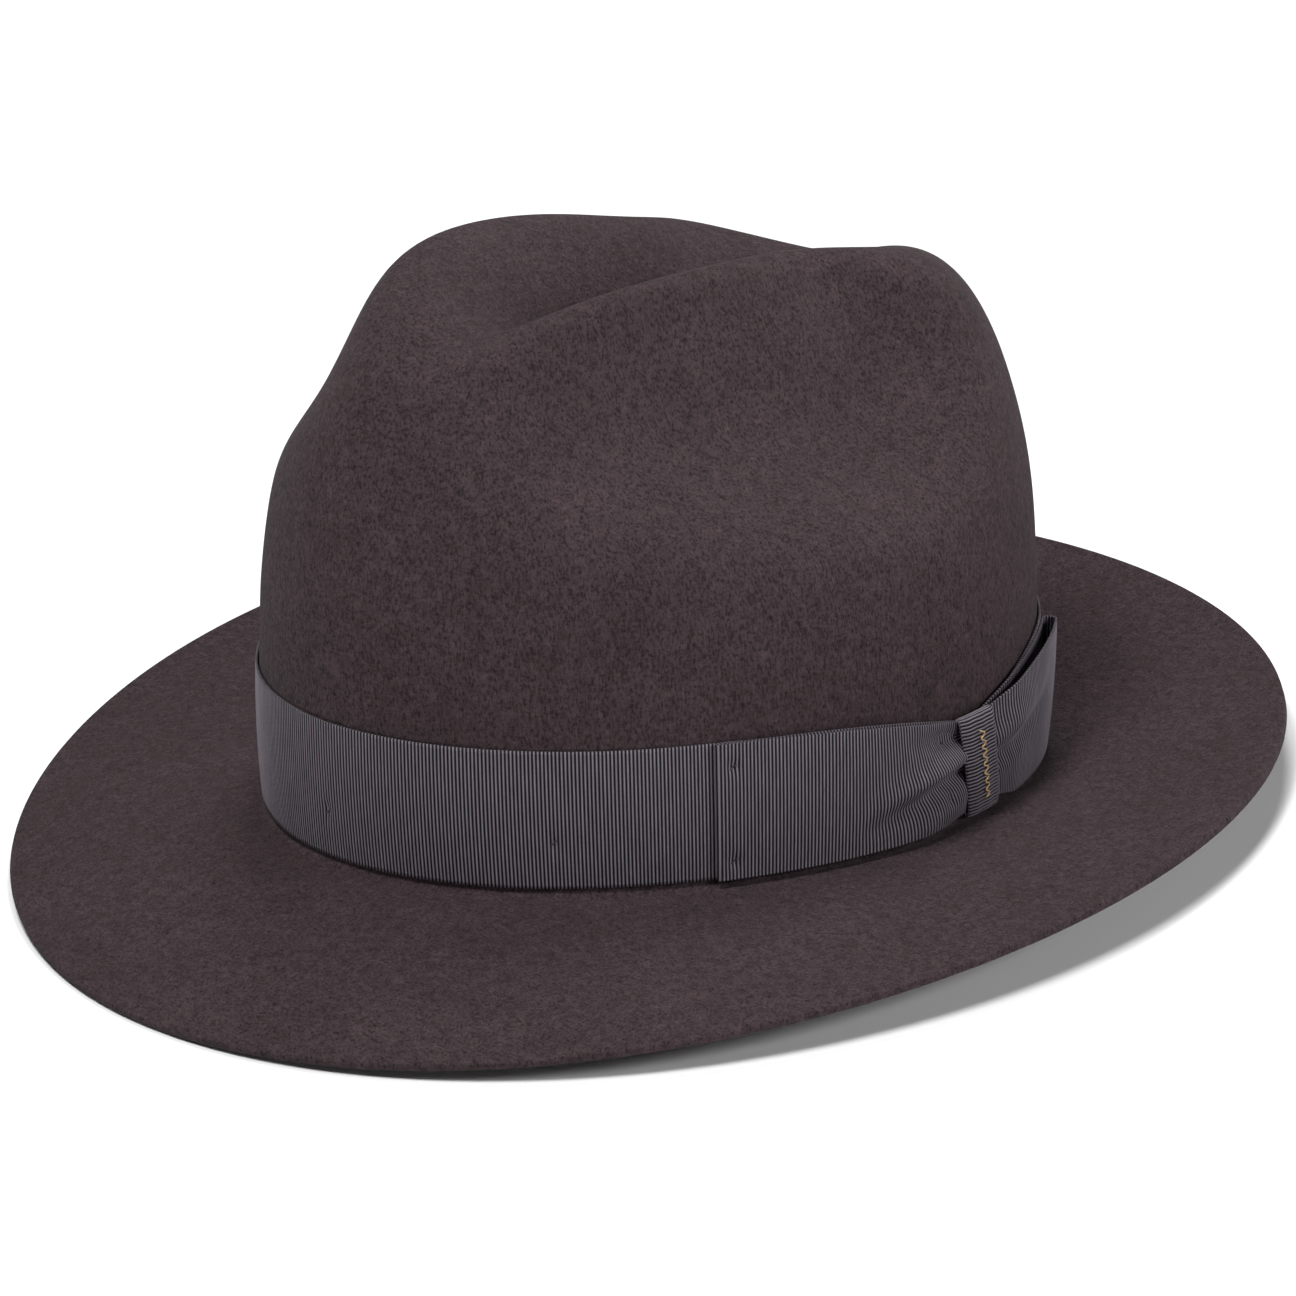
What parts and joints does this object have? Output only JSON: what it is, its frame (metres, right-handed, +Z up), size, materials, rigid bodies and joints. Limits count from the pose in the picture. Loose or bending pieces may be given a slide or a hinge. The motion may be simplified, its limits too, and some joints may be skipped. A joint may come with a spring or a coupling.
{
  "type": "fedora hat",
  "caption": "Fur-felt fedora with a creased crown, snapped brim, ribbon band with a flat bow, leather sweatband and satin lining.",
  "frame": {"origin": "middle of the hat's box, at the level of the surface its brim stands on", "axes": "+Z up, -Y towards the front of the hat, +X towards the wearer's left"},
  "size_m": [0.314, 0.349, 0.1606],
  "materials": {
    "felt": "short-nap fur felt, warm charcoal, matt",
    "band_ribbon": "grosgrain ribbon with upright ribs, soft satin sheen",
    "bow_ribbon": "grosgrain ribbon, soft satin sheen",
    "ribbon_thread": "sewing thread, matched to the ribbon",
    "trim_thread": "bright gold-coloured embroidery thread",
    "sweat_leather": "smooth brown sheepskin",
    "reed": "pale plastic reed",
    "reed_tape": "woven cotton tape",
    "leather_thread": "waxed sewing thread",
    "small_bow": "narrow grosgrain ribbon",
    "tab": "blank woven paper tab",
    "lining_satin": "satin lining, soft gloss",
    "lining_piping": "satin-covered piping cord"
  },
  "bodies": {
    "root": {"felt_body": "felt", "hat_band": "band_ribbon", "bow_front_loop": "bow_ribbon", "bow_rear_loop": "bow_ribbon", "bow_knot": "bow_ribbon", "bow_knot_trim": "trim_thread", "band_tack_front": "ribbon_thread", "band_tack_side": "ribbon_thread", "bow_tack_end_upper": "ribbon_thread", "bow_tack_end_lower": "ribbon_thread", "bow_tack_knot_upper": "ribbon_thread", "bow_tack_knot_lower": "ribbon_thread", "sweatband": "sweat_leather", "sweatband_reed": "reed", "sweatband_reed_tape": "reed_tape", "sweatband_stitching": "leather_thread", "sweatband_seam_lace": "leather_thread", "sweatband_bow_left_loop": "small_bow", "sweatband_bow_right_loop": "small_bow", "sweatband_bow_knot": "small_bow", "size_tab": "tab", "lining_wall": "lining_satin", "lining_tip": "lining_satin", "lining_piping": "lining_piping"}
  },
  "joints": []
}
